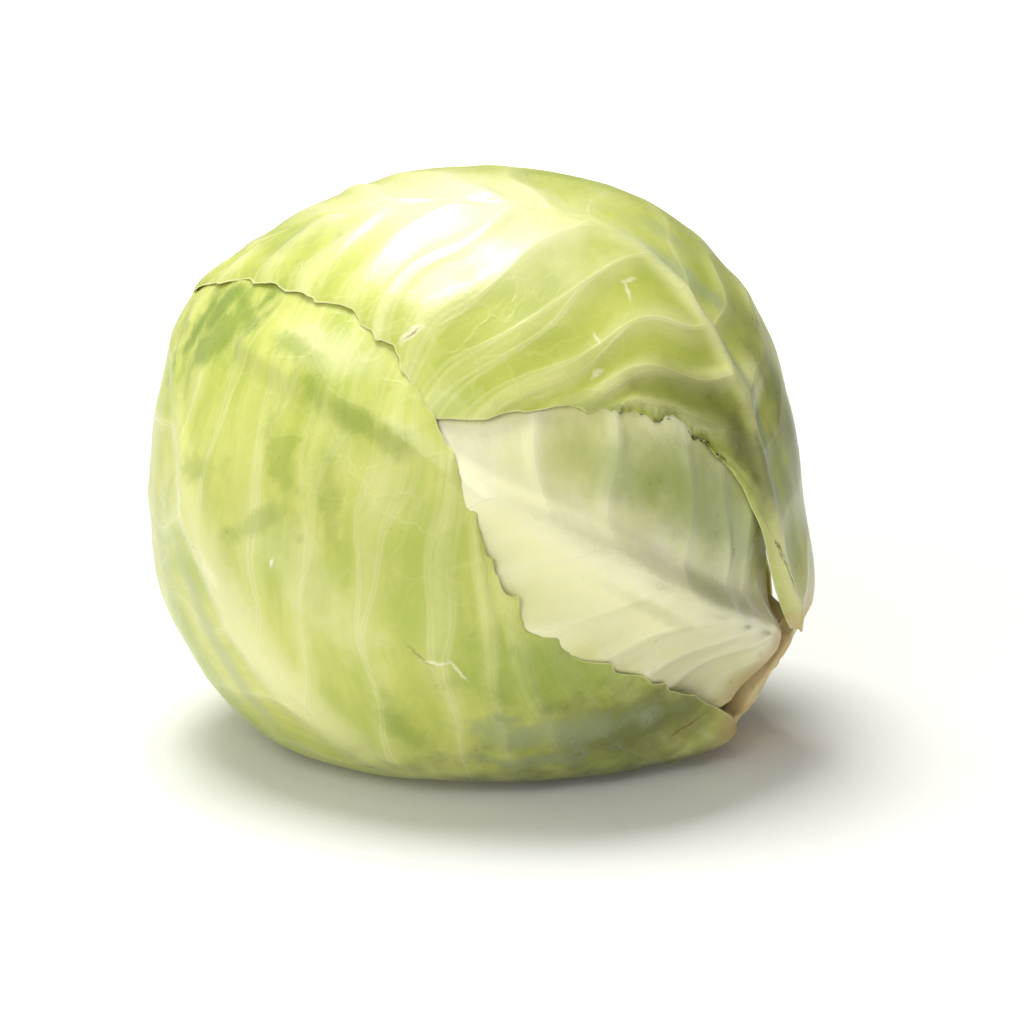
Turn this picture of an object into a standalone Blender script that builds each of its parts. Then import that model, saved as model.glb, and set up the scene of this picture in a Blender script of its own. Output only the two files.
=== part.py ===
"""A white cabbage head lying on its side: ten wrapped leaves, the heart and the cut stem.

The head is a slightly irregular ball. Its axis runs from the cut stem, low at +X, to the crown,
high at -X, and it has settled on a small flat spot under the front wrapper leaf. Each leaf is one
sheet, grown around the ball: its own outline is laid out flat around the leaf's middle and wrapped
onto the head, and its height over the heart counts the leaves that lie beneath it.

Run it with: blender --background --python part.py
"""

import math

import bmesh
import bpy
import numpy as np
from mathutils import Vector

# Driving dimensions, in metres unless a name says otherwise.
HEAD_RADIUS = 0.0896  # a ball of this radius is the head's plain form
STEM_RISE = 0.0085  # the leaf bases run out along the stem by this much
STEM_RISE_FROM = math.radians(146)  # measured from the crown
STEM_RISE_OVER = math.radians(24)
CENTRE_HEIGHT = 0.0675  # the ball's centre over the surface it lies on
FLAT_SOFTNESS = 0.0045  # how gently the underside turns into the flat spot
FLAT_SKIM = 0.0004  # what is pressed quite flat
CENTRE_X = -0.0007
CENTRE_Y = 0.0

# Lumps and dents: (degrees from the crown, azimuth in degrees, width in radians, height).
LUMPS = (
    (0, 0, 0.24, 0.0060),
    (32, 80, 0.22, 0.0015),
    (96, 90, 0.46, 0.0028),
    (98, 0, 0.60, 0.0025),
    (98, 180, 0.60, 0.0025),
    (48, -85, 0.30, 0.0010),
    (136, 90, 0.22, -0.0022),
    (150, -75, 0.30, 0.0045),
)
CROWN_AXIS = np.array([-0.8405, 0.1312, 0.5257])  # from the head's centre to its crown
FRONT_SIDE = np.array([0.0, -0.9703, 0.2421])  # azimuth 0 faces this way

LEAF_THICKNESS = 0.0013
LEAF_PITCH = 0.0026  # from one leaf's outer face to the next one's: the rest is air
COVER_KEEP = 0.008  # a leaf still lies on the next one this far past its margin
COVER_FADE = 0.032  # and comes down to the leaf beneath over this much more
SETTLE_FADE = 0.060  # the whole head evens out its leaves over this width
NECK_ANGLE = math.radians(156)  # where the head draws in towards the stem, from the crown
NECK_WIDTH = math.radians(15)

STEM_RADIUS = 0.0192
STEM_RIM = 0.0060  # the stump's own side, outside the leaf bases
STEM_CHAMFER = 0.0008
STEM_STEP = 0.0025  # the stump is thinner where the leaf bases sit round it
STEM_ROOT_RADIUS = 0.0155  # where it enters the heart
STEM_CUT = 0.0935  # the cut face, from the head's centre
STEM_DEPTH = 0.0225  # from the cut face to the stump's inner end
HEART_GAP = 0.0010
HEART_DIMPLE = 0.0140  # the heart's hollow around the stump's inner end
DIMPLE_FROM = math.radians(154)  # measured from the crown
DIMPLE_OVER = math.radians(14)

LEAF_MIDDLE = 88  # degrees from the crown
LEAF_ROWS = 16  # from base to tip
LEAF_HALF_COLUMNS = 8  # from midrib to margin
MIDRIB_END = 0.90  # the midrib fades out this far up the leaf
VEIN_SAG = 0.44  # how far a side vein bows towards the base, for its reach
BASE_CORNER = math.radians(172)  # where the margin starts, beside the leaf's base

# Margins: the distance in mm from the leaf's middle, at angles in degrees from its tip. Positive
# angles are the side of growing azimuth, and 180 is the leaf's base.
TOP_LEAF_MARGIN = {
    -171: 119, -165: 99, -155: 74, -140: 60, -115: 57, -92: 67, -76: 83, -60: 77, -40: 83,
    -15: 107, 0: 134, 20: 152, 45: 146, 70: 122, 95: 102, 120: 90, 145: 90, 163: 104, 171: 119, 180: 122,
}
FRONT_LEAF_MARGIN = {
    -171: 119, -163: 106, -145: 89, -120: 86, -95: 96, -70: 112, -45: 132, -15: 155, 0: 158,
    20: 148, 45: 130, 65: 113, 78: 99, 92: 87, 106: 76, 126: 77, 142: 88, 157: 103, 171: 119, 180: 122,
}
PLAIN_LEAF_MARGIN = {
    -171: 119, -163: 112, -145: 92, -120: 88, -95: 97, -70: 112, -45: 130, -15: 148, 0: 150,
    15: 148, 45: 130, 70: 112, 95: 97, 120: 88, 145: 92, 163: 112, 171: 119, 180: 122,
}


class Leaf:
    """One leaf's name, place and margin. Azimuth 0 faces -Y and 90 points up."""

    def __init__(self, name, azimuth, margin, colour, neck_drop, scale=1.0):
        self.name = name
        self.azimuth = azimuth
        self.angles = np.radians([a - 360 for a in margin] + list(margin) + [a + 360 for a in margin])
        self.reach = np.tile([r * 0.001 * scale for r in margin.values()], 3)
        self.colour = colour
        self.neck_drop = neck_drop

    def margin_at(self, angle):
        """The margin's distance from the leaf's middle, on a smooth curve through its points."""
        k = np.clip(np.searchsorted(self.angles, angle) - 1, 1, len(self.angles) - 3)
        a0, a1, a2, a3 = (self.angles[k + i] for i in (-1, 0, 1, 2))
        r0, r1, r2, r3 = (self.reach[k + i] for i in (-1, 0, 1, 2))
        slope1 = (r2 - r0) / (a2 - a0) * (a2 - a1)
        slope2 = (r3 - r1) / (a3 - a1) * (a2 - a1)
        t = (angle - a1) / (a2 - a1)
        return (
            (2 * t**3 - 3 * t**2 + 1) * r1
            + (t**3 - 2 * t**2 + t) * slope1
            + (3 * t**2 - 2 * t**3) * r2
            + (t**3 - t**2) * slope2
        )


# From the outermost leaf inwards. Each next one stands a little over a third of a turn on.
LEAVES = [
    Leaf("wrapper_leaf_top", 58, TOP_LEAF_MARGIN, (0.52, 0.58, 0.17), 0.0),
    Leaf("wrapper_leaf_front", -57, FRONT_LEAF_MARGIN, (0.56, 0.62, 0.19), 0.0010),
    Leaf("wrapper_leaf_back", 165, PLAIN_LEAF_MARGIN, (0.52, 0.58, 0.18), 0.0020),
    Leaf("inner_leaf_front", 5, PLAIN_LEAF_MARGIN, (0.66, 0.66, 0.32), 0.0040),
    Leaf("inner_leaf_under", -130, PLAIN_LEAF_MARGIN, (0.64, 0.67, 0.32), 0.0050, 0.98),
    Leaf("inner_leaf_top", 100, PLAIN_LEAF_MARGIN, (0.62, 0.66, 0.30), 0.0060, 0.98),
    Leaf("core_leaf_1", -45, PLAIN_LEAF_MARGIN, (0.70, 0.71, 0.42), 0.0070, 0.97),
    Leaf("core_leaf_2", 178, PLAIN_LEAF_MARGIN, (0.70, 0.71, 0.42), 0.0075, 0.97),
    Leaf("core_leaf_3", 40, PLAIN_LEAF_MARGIN, (0.73, 0.73, 0.46), 0.0080, 0.96),
    Leaf("core_leaf_4", -97, PLAIN_LEAF_MARGIN, (0.73, 0.73, 0.46), 0.0085, 0.96),
]
HEART_COLOUR = (0.80, 0.79, 0.52)
STEM_COLOUR = (0.62, 0.50, 0.30)


def unit(vectors):
    return vectors / np.linalg.norm(vectors, axis=-1, keepdims=True)


CROWN = unit(CROWN_AXIS)
FRONT = unit(FRONT_SIDE - FRONT_SIDE @ CROWN * CROWN)  # azimuth 0, square to the axis
UP = np.cross(CROWN, FRONT)  # azimuth 90
CENTRE = np.array([CENTRE_X, CENTRE_Y, CENTRE_HEIGHT])


def smoothstep(x):
    x = np.clip(x, 0, 1)
    return x * x * (3 - 2 * x)


def direction(from_crown, azimuth):
    """A direction from the head's centre, its two angles in degrees."""
    polar, turn = math.radians(from_crown), math.radians(azimuth)
    side = math.cos(turn) * FRONT + math.sin(turn) * UP
    return math.cos(polar) * CROWN + math.sin(polar) * side


def frame_of(leaf):
    """The leaf's outward, towards-the-crown and sideways directions at its middle."""
    outward = direction(LEAF_MIDDLE, leaf.azimuth)
    crownward = unit(CROWN - CROWN @ outward * outward)
    return outward, crownward, np.cross(crownward, outward)


def wrap(leaf, flat):
    """Directions from the head's centre for points laid out flat around the leaf's middle."""
    outward, crownward, sideways = frame_of(leaf)
    distance = np.maximum(np.linalg.norm(flat, axis=-1, keepdims=True), 1e-9)
    turn = distance / HEAD_RADIUS
    heading = (flat[..., :1] * sideways + flat[..., 1:] * crownward) / distance
    return np.cos(turn) * outward + np.sin(turn) * heading


def cover(leaf, directions, keep, fade):
    """1 where the leaf lies and just past its margin, falling to 0 over the fade width."""
    outward, crownward, sideways = frame_of(leaf)
    turn = np.arccos(np.clip(directions @ outward, -1, 1))
    angle = np.arctan2(directions @ sideways, directions @ crownward)
    outside = turn * HEAD_RADIUS - leaf.margin_at(angle)
    return smoothstep(1 - (outside - keep) / fade)


def place(directions, level):
    """Points on the outer face of leaf number level, or on the heart's face for len(LEAVES)."""
    polar = np.arccos(np.clip(directions @ CROWN, -1, 1))
    radius = HEAD_RADIUS + STEM_RISE * smoothstep((polar - STEM_RISE_FROM) / STEM_RISE_OVER)
    for from_crown, azimuth, width, height in LUMPS:
        away = np.arccos(np.clip(directions @ direction(from_crown, azimuth), -1, 1))
        radius = radius + height * np.exp(-((away / width) ** 2))
    settled = sum(cover(leaf, directions, 0.0, SETTLE_FADE) for leaf in LEAVES) * LEAF_PITCH
    beneath = sum((cover(leaf, directions, COVER_KEEP, COVER_FADE) for leaf in LEAVES[level:]), 0.0)
    radius = radius - settled + beneath * LEAF_PITCH
    drop = LEAVES[level].neck_drop if level < len(LEAVES) else LEAVES[-1].neck_drop + 0.001
    radius = radius - drop * np.exp(-(((polar - NECK_ANGLE) / NECK_WIDTH) ** 2))
    points = CENTRE + radius[..., None] * directions
    # What lies above this face presses it down by its own thickness, so the floor is lower still.
    above = sum((cover(leaf, directions, COVER_KEEP, COVER_FADE) for leaf in LEAVES[:level]), 0.0)
    floor = above * LEAF_PITCH
    rise = (points[..., 2] - floor) / FLAT_SOFTNESS
    soft = FLAT_SOFTNESS * np.logaddexp(0.0, rise) - FLAT_SKIM
    points[..., 2] = floor + np.maximum(soft, 0.0)
    return points


def leaf_layout(leaf):
    """Flat points of a leaf: rows follow the side veins from the midrib out to the margin."""
    rows = []
    for i in range(LEAF_ROWS + 1):
        up = i / LEAF_ROWS
        low, high = -leaf.margin_at(math.pi), leaf.margin_at(0.0) * MIDRIB_END
        middle = np.array([0.0, low + (high - low) * up])
        row = []
        for j in range(-LEAF_HALF_COLUMNS, LEAF_HALF_COLUMNS + 1):
            out = abs(j) / LEAF_HALF_COLUMNS
            angle = math.copysign(BASE_CORNER * (1 - up), j)
            edge = np.array([math.sin(angle), math.cos(angle)]) * leaf.margin_at(angle)
            sag = np.array([0.0, -VEIN_SAG * abs(edge[0]) * out * (1 - out)])
            row.append(middle + (edge - middle) * out + sag)
        rows.append(row)
    return np.array(rows)


def new_material(name, colour, roughness):
    material = bpy.data.materials.new(name)
    material.use_nodes = True
    shader = material.node_tree.nodes["Principled BSDF"]
    shader.inputs["Base Color"].default_value = (*colour, 1.0)
    shader.inputs["Roughness"].default_value = roughness
    shader.inputs["Metallic"].default_value = 0.0
    return material


def new_object(name, work, collection, colour, roughness):
    """Makes a mesh object of the bmesh, smooth shaded, with a material of its own."""
    mesh = bpy.data.meshes.new(name)
    work.to_mesh(mesh)
    work.free()
    mesh.shade_smooth()
    obj = bpy.data.objects.new(name, mesh)
    obj.data.materials.append(new_material(name, colour, roughness))
    collection.objects.link(obj)
    return obj


def build_leaf(level, collection):
    """One leaf: a grid wrapped onto the head at its level, thickened inwards."""
    leaf = LEAVES[level]
    layout = leaf_layout(leaf)
    points = place(wrap(leaf, layout), level)
    work = bmesh.new()
    bmesh.ops.create_grid(
        work, x_segments=2 * LEAF_HALF_COLUMNS, y_segments=LEAF_ROWS, size=1.0
    )
    for vert in work.verts:
        column = round((vert.co.x + 1) * LEAF_HALF_COLUMNS)
        row = round((vert.co.y + 1) / 2 * LEAF_ROWS)
        vert.co = points[row, column]
    # The two halves meet on one line past the midrib's end.
    bmesh.ops.remove_doubles(work, verts=work.verts, dist=0.00005)
    bmesh.ops.recalc_face_normals(work, faces=work.faces)
    outward = sum(f.normal.dot(f.calc_center_median() - Vector(CENTRE)) for f in work.faces)
    if outward < 0:
        bmesh.ops.reverse_faces(work, faces=work.faces)
    obj = new_object(leaf.name, work, collection, leaf.colour, 0.42)
    wall = obj.modifiers.new("leaf_thickness", "SOLIDIFY")
    wall.thickness = LEAF_THICKNESS
    wall.offset = -1.0
    wall.use_even_offset = True
    return obj


def build_heart(collection):
    """The tight inner leaves as one solid, just inside the last separate leaf."""
    work = bmesh.new()
    bmesh.ops.create_uvsphere(work, u_segments=32, v_segments=18, radius=1.0)
    for vert in work.verts:
        outward = unit(vert.co.x * FRONT + vert.co.y * UP + vert.co.z * CROWN)
        point = place(outward[None], len(LEAVES))[0]
        polar = math.acos(max(-1.0, min(1.0, vert.co.z)))
        dimple = HEART_DIMPLE * smoothstep((polar - DIMPLE_FROM) / DIMPLE_OVER)
        vert.co = point + (CENTRE - point) * (HEART_GAP + dimple) / HEAD_RADIUS
    bmesh.ops.recalc_face_normals(work, faces=work.faces)
    return new_object("heart", work, collection, HEART_COLOUR, 0.45)


def build_stem(collection):
    """The cut stump, turned about the head's axis: a short rim, then a cone into the head."""
    cut, inner = STEM_CUT, STEM_CUT - STEM_DEPTH
    profile = [
        (0.0, cut),
        (STEM_RADIUS - STEM_CHAMFER, cut),
        (STEM_RADIUS, cut - STEM_CHAMFER),
        (STEM_RADIUS, cut - STEM_RIM),
        (STEM_RADIUS - STEM_STEP, cut - STEM_RIM - STEM_STEP),
        (STEM_ROOT_RADIUS, inner),
        (0.0, inner),
    ]
    work = bmesh.new()
    corners = [work.verts.new((r, 0.0, z)) for r, z in profile]
    for first, second in zip(corners, corners[1:]):
        work.edges.new((first, second))
    obj = new_object("stem", work, collection, STEM_COLOUR, 0.6)
    obj.rotation_euler = Vector(-CROWN).to_track_quat("Z", "X").to_euler()
    obj.location = Vector(CENTRE)
    turn = obj.modifiers.new("turned", "SCREW")
    turn.steps = turn.render_steps = 32
    turn.use_merge_vertices = True
    turn.merge_threshold = 0.00005
    return obj


def main():
    for old in list(bpy.data.objects):
        bpy.data.objects.remove(old, do_unlink=True)
    collection = bpy.data.collections.new("cabbage_head")
    bpy.context.scene.collection.children.link(collection)
    for level in range(len(LEAVES)):
        build_leaf(level, collection)
    build_heart(collection)
    build_stem(collection)


main()
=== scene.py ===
"""Looks for a white cabbage head lying on its side: ten wrapped leaves, the heart and the cut stump.

The head is a slightly irregular ball about a slanting axis, from the crown down to the cut stump.
Every leaf is one sheet that grew around the ball, so it is worked out flat: millimetres sideways (x)
and towards the crown (y) from the leaf's middle. The flat leaf carries its midrib, its forking side
veins, its quilted blade and its scalloped margin, and is then wrapped onto the head at its own level.
"""

import logging
import math
from dataclasses import dataclass, field
from enum import Enum
from typing import Any, Mapping, Optional

import bmesh
import bpy
import numpy as np
from mathutils import Matrix, Vector


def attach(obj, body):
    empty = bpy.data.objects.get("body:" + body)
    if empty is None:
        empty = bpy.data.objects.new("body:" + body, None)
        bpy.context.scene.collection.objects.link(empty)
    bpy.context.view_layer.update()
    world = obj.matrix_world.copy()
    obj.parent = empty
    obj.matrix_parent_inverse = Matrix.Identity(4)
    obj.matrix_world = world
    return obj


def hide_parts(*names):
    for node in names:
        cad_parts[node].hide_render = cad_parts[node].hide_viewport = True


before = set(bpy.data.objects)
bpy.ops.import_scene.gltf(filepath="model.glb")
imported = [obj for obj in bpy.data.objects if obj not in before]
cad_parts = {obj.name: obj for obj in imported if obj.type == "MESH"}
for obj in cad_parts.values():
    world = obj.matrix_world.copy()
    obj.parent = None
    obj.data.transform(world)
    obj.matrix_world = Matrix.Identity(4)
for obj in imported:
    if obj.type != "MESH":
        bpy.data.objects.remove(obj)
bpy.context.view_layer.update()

Array = np.ndarray
Colour = tuple[float, float, float, float]
Socket = bpy.types.NodeSocket
log = logging.getLogger("cabbage_head")

MM = 0.001
BODY = "root"
FLAT_MAP = "leaf_flat"
HEAD_MIDDLE = (0, 0, 0.07)


def srgb(code: str) -> Colour:
    """Turn an sRGB hex colour into a linear one.

    Args:
        code: six hex digits, without a hash sign.

    Returns:
        Linear red, green and blue, and an alpha of 1.
    """
    shares = [int(code[i : i + 2], 16) / 255 for i in (0, 2, 4)]
    linear = [s / 12.92 if s <= 0.04045 else ((s + 0.055) / 1.055) ** 2.4 for s in shares]
    return (linear[0], linear[1], linear[2], 1.0)


def unit(vectors: Array) -> Array:
    """Return the vectors at length one."""
    return vectors / np.linalg.norm(vectors, axis=-1, keepdims=True)


def smoothstep(x: Array) -> Array:
    """Return 0 below 0, 1 above 1 and a smooth rise between."""
    x = np.clip(x, 0.0, 1.0)
    return x * x * (3.0 - 2.0 * x)


def add_node(
    tree: bpy.types.NodeTree,
    kind: str,
    settings: Optional[Mapping[str, Any]] = None,
    inputs: Optional[Mapping[Any, Any]] = None,
    out: int | str = 0,
) -> Optional[Socket]:
    """Add a node to a tree, with its settings and its inputs.

    Args:
        tree: the node tree.
        kind: the node's type name, without the ShaderNode that all of them start with.
        settings: the node's own properties by name.
        inputs: by input name or number, a socket to link from or a value to set.
        out: the name or number of the output that is wanted.

    Returns:
        That output socket, or None for a node without outputs.
    """
    node = tree.nodes.new("ShaderNode" + kind)
    for name, value in (settings or {}).items():
        setattr(node, name, value)
    for key, value in (inputs or {}).items():
        if isinstance(value, Socket):
            tree.links.new(value, node.inputs[key])
        else:
            node.inputs[key].default_value = value
    return node.outputs[out] if node.outputs else None


# Settings that many nodes share.
SOFT = {"interpolation_type": "SMOOTHSTEP"}
BLEND = {"data_type": "RGBA"}
TIMES = {"operation": "MULTIPLY"}
TIMES_PLUS = {"operation": "MULTIPLY_ADD"}

# The places of a mix node's two colours among its inputs, and of the colour result among its outputs.
UNDER, OVER = 6, 7
BLENDED = 2

# Along every leaf, in mm from its middle: where its foot thickens, and where its cut base is dry or burnt.
FOOT_TOP = -100.0
FOOT_LENGTH = 18.0
DRIED = (-116.0, -106.0)
BURNT = (-118.0, -115.5)


@dataclass(frozen=True)
class Ripple:
    """Smooth unevenness over a flat sheet: plane waves of about one length in seeded directions."""

    seed: int
    length: float  # mm
    waves: int = 9

    def at(self, x: Array, y: Array) -> Array:
        """Work out the ripple at flat points.

        Args:
            x, y: the points, in mm.

        Returns:
            The ripple there, mostly between -1 and 1.
        """
        rng = np.random.default_rng(self.seed)
        total = np.zeros(np.broadcast(x, y).shape)
        for _ in range(self.waves):
            turn, start = rng.uniform(0.0, math.tau, 2)
            pace = math.tau / (self.length * rng.uniform(0.7, 1.5))
            total += np.sin(pace * (x * math.cos(turn) + y * math.sin(turn)) + start)
        return total / math.sqrt(2.0 * self.waves)


@dataclass(frozen=True)
class Course:
    """A smooth curve through a few points, such as a midrib's sideways wander along its leaf."""

    points: tuple[tuple[float, float], ...]
    period: float = 0.0

    def at(self, where: Array) -> Array:
        """Return the curve's value, as a cubic whose slopes come from its neighbours.

        Args:
            where: places along the curve, in the units of each point's first number.

        Returns:
            The values there. Past the ends of an open curve it is the end's own value.
        """
        keys = np.array([p[0] for p in self.points], float)
        values = np.array([p[1] for p in self.points], float)
        if self.period:
            keys = np.concatenate([keys - self.period, keys, keys + self.period])
            values = np.tile(values, 3)
        else:
            first, last = keys[0], keys[-1]
            keys = np.concatenate([[first - 40.0], keys, [last + 40.0]])
            values = np.concatenate([values[:1], values, values[-1:]])
            where = np.clip(where, first, last)
        k = np.clip(np.searchsorted(keys, where) - 1, 1, len(keys) - 3)
        a0, a1, a2, a3 = (keys[k + i] for i in (-1, 0, 1, 2))
        r0, r1, r2, r3 = (values[k + i] for i in (-1, 0, 1, 2))
        slope1 = (r2 - r0) / (a2 - a0) * (a2 - a1)
        slope2 = (r3 - r1) / (a3 - a1) * (a2 - a1)
        t = (where - a1) / (a2 - a1)
        return (
            (2 * t**3 - 3 * t**2 + 1) * r1
            + (t**3 - 2 * t**2 + t) * slope1
            + (3 * t**2 - 2 * t**3) * r2
            + (t**3 - t**2) * slope2
        )


class Tint(Enum):
    """What a patch on a leaf is, which picks its colour. The dull olive is painted shade, the darker green is
    partly painted shade at the front leaf's bottom, and the pale patch on the top leaf is partly a painted
    highlight.
    """

    BLOOM = "waxy grey bloom"
    SHADE = "darker green blade"
    # Painted shade: dull olive laid where the blade turns from the light, under the head, by the stem and
    # beside the inner leaf's midrib.
    OLIVE = "dull olive blade"
    # A blanched blade, which on the top leaf also serves as a painted highlight.
    PALE = "blanched blade"
    SCAR = "torn skin, dried white"
    BROWN = "bruised brown"


@dataclass(frozen=True)
class Patch:
    """A soft or ragged spot on a flat leaf, an ellipse in mm and degrees."""

    tint: Tint
    x: float
    y: float
    half_length: float
    half_width: float
    turn: float = 0.0
    strength: float = 1.0
    ragged: float = 0.4


@dataclass(frozen=True)
class LeafFinish:
    """Living cabbage leaf: a waxy skin over pale green flesh that lets a little light through.

    The wax gives a soft, broad gloss, and the flesh a slight glow in the shade. Veins and the
    midrib are paler and smoother than the blade between them.
    """

    name: str
    blade: str
    deep: str
    vein: str
    base: str = "CFB473"
    rim: str = "E4E79C"
    thread: str = "A9A05A"
    roughness: float = 0.33
    glow: float = 0.30  # light that the flesh lets through
    wax: float = 0.30
    streaks: float = 0.8  # how strongly the broad pale streaks over the veins show
    lines: float = 0.5  # the thin line of each side vein
    net: float = 0.12  # the net of small veins
    fibre: float = 0.5  # the long soft fibres between the veins
    burnt: float = 0.0  # how brown the cut base is
    cloud_size: float = 38.0  # mm, as are all the sizes below: the blade's clouds of two greens
    net_size: float = 11.0  # one mesh of the net of small veins
    net_bend: float = 9.0
    ragged_size: float = 9.0  # the noise that tears the edges of patches
    tremble_size: float = 2.6  # a finer noise that shakes them by as much as tremble
    tremble: float = 1.4
    grain_size: float = 1.3  # the skin's own grain, drawn coarser than it is, so that it shows
    tints: Mapping[Tint, str] = field(
        default_factory=lambda: {
            Tint.BLOOM: "A3AE82",
            Tint.SHADE: "84982F",
            # The colour of the painted shade.
            Tint.OLIVE: "6B6E2C",
            # Pale blade, whitened so that it also serves as a painted highlight.
            Tint.PALE: "ECECB2",
            Tint.SCAR: "F2F0C4",
            Tint.BROWN: "8A6638",
        }
    )

    def material(self, patches: tuple[Patch, ...]) -> bpy.types.Material:
        """Make the leaf's material.

        Args:
            patches: the marks and tints that lie on this leaf.

        Returns:
            The new material.
        """
        made = bpy.data.materials.new(self.name)
        made.use_nodes = True
        tree = made.node_tree
        shader = tree.nodes["Principled BSDF"]
        flat = add_node(tree, "UVMap", {"uv_map": FLAT_MAP})
        seen = {
            name: add_node(tree, "Attribute", {"attribute_name": name}, out="Fac")
            for name in ("phase", "gap", "reach", "edge", "streak", "show")
        }
        across = add_node(tree, "SeparateXYZ", None, {0: flat}, "X")
        wander = add_node(tree, "TexNoise", None,
                          {"Vector": flat, "Scale": 1 / self.ragged_size, "Detail": 4.0})
        fibres = self._fibres(tree, seen, across)
        veins = self._vein_lines(tree, seen)
        net = self._net(tree, flat, wander, seen["reach"])

        # The blade: clouds and fibres of the two greens, then the broad pale streaks and the veins.
        colour = self._blade(tree, flat, fibres)
        streaks = add_node(tree, "Math", TIMES, {0: seen["streak"], 1: self.streaks})
        paler = ((streaks, self.vein), (net, self.vein), (veins[0], self.vein), (veins[1], self.thread))
        for share, code in paler:
            colour = add_node(tree, "Mix", BLEND, {0: share, UNDER: colour, OVER: srgb(code)}, BLENDED)
        tremble = add_node(tree, "TexNoise", None,
                           {"Vector": flat, "Scale": 1 / self.tremble_size, "Detail": 3.0}, "Color")
        most, least = 2 * self.tremble, -self.tremble
        shift = add_node(tree, "VectorMath", TIMES_PLUS,
                         {0: tremble, 1: (most, most, 0.0), 2: (least, least, 0.0)})
        shifted = add_node(tree, "VectorMath", {"operation": "ADD"}, {0: flat, 1: shift})
        # The patches, among them painted shade and a painted highlight.
        for patch in patches:
            colour = self._patch(tree, shifted, wander, colour, patch)
        colour = self._ends(tree, flat, wander, seen["edge"], colour)
        tree.links.new(colour, shader.inputs["Base Color"])

        # Fine relief: the net of small veins and the skin's own grain.
        grain = add_node(tree, "TexNoise", None,
                         {"Vector": flat, "Scale": 1 / self.grain_size, "Detail": 3.0})
        raised = add_node(tree, "Math", TIMES_PLUS, {0: veins[0], 1: 0.45, 2: net})
        raised = add_node(tree, "Math", TIMES_PLUS, {0: grain, 1: 0.16, 2: raised})
        raised = add_node(tree, "Math", TIMES_PLUS, {0: fibres, 1: 0.5, 2: raised})
        bump = add_node(tree, "Bump", None, {"Height": raised, "Distance": 0.6 * MM, "Strength": 0.6})
        tree.links.new(bump, shader.inputs["Normal"])
        rough = add_node(tree, "MapRange", None, {
            "Value": wander, "From Min": 0.3, "From Max": 0.7,
            "To Min": self.roughness - 0.07, "To Max": self.roughness + 0.12})
        tree.links.new(rough, shader.inputs["Roughness"])
        shader.inputs["IOR"].default_value = 1.48
        shader.inputs["Coat Weight"].default_value = self.wax
        shader.inputs["Coat Roughness"].default_value = 0.22
        shader.inputs["Subsurface Weight"].default_value = self.glow
        shader.inputs["Subsurface Radius"].default_value = (1.0, 0.95, 0.30)
        shader.inputs["Subsurface Scale"].default_value = 2.5 * MM
        return made

    def _fibres(self, tree: bpy.types.NodeTree, seen: Mapping[str, Socket], across: Socket) -> Socket:
        """Draw the long soft streaks that run with the side veins.

        Args:
            tree: the node tree.
            seen: the leaf's attributes by name.
            across: how far each point lies from the leaf's middle line, in mm.

        Returns:
            The streaks, from 0 to 1.
        """
        place = add_node(tree, "CombineXYZ", None, {"X": seen["phase"], "Y": seen["reach"], "Z": across})
        place = add_node(tree, "VectorMath", TIMES, {0: place, 1: (2.4, 1.6, 0.02)})
        return add_node(tree, "TexNoise", None,
                        {"Vector": place, "Scale": 1.0, "Detail": 5.0, "Roughness": 0.6})

    def _blade(self, tree: bpy.types.NodeTree, flat: Socket, fibres: Socket) -> Socket:
        """Colour the blade between the veins, in clouds and fibres of its two greens.

        Args:
            tree: the node tree.
            flat: the flat place of each point, in mm.
            fibres: the long soft streaks.

        Returns:
            The blade's colour.
        """
        cloud = add_node(tree, "TexNoise", None,
                         {"Vector": flat, "Scale": 1 / self.cloud_size, "Detail": 4.0})
        both = add_node(tree, "Math", TIMES_PLUS, {0: fibres, 1: self.fibre, 2: cloud})
        low = 0.40 + 0.5 * self.fibre
        share = add_node(tree, "MapRange", SOFT, {
            "Value": both, "From Min": low - 0.10, "From Max": low + 0.30, "To Min": 0.0, "To Max": 0.85})
        return add_node(tree, "Mix", BLEND,
                        {0: share, UNDER: srgb(self.blade), OVER: srgb(self.deep)}, BLENDED)

    def _vein_lines(
        self, tree: bpy.types.NodeTree, seen: Mapping[str, Socket]
    ) -> tuple[Socket, Socket]:
        """Draw the forking side veins, from how far round each point is between them.

        Args:
            tree: the node tree.
            seen: the leaf's attributes by name.

        Returns:
            The pale line of each vein, and the thin dull thread along its middle.
        """
        away = add_node(tree, "Math", {"operation": "PINGPONG"}, {0: seen["phase"], 1: 0.5})
        for start, stop, spread in FORKS:
            split = add_node(tree, "MapRange", SOFT, {
                "Value": seen["reach"], "From Min": start, "From Max": stop, "To Min": 0.0, "To Max": spread})
            away = add_node(tree, "Math", {"operation": "SUBTRACT"}, {0: away, 1: split})
            away = add_node(tree, "Math", {"operation": "ABSOLUTE"}, {0: away})
        away = add_node(tree, "Math", TIMES, {0: away, 1: seen["gap"]})
        line = add_node(tree, "MapRange", SOFT, {
            "Value": away, "From Min": 0.15, "From Max": 1.1, "To Min": self.lines, "To Max": 0.0})
        thread = add_node(tree, "MapRange", SOFT, {
            "Value": away, "From Min": 0.05, "From Max": 0.32, "To Min": 0.55 * self.lines, "To Max": 0.0})
        fade = add_node(tree, "MapRange", SOFT, {
            "Value": seen["reach"], "From Min": 0.05, "From Max": 1.0, "To Min": 1.0, "To Max": 0.35})
        fade = add_node(tree, "Math", TIMES, {0: fade, 1: seen["show"]})
        line = add_node(tree, "Math", TIMES, {0: line, 1: fade})
        thread = add_node(tree, "Math", TIMES, {0: thread, 1: fade})
        return line, thread

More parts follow.
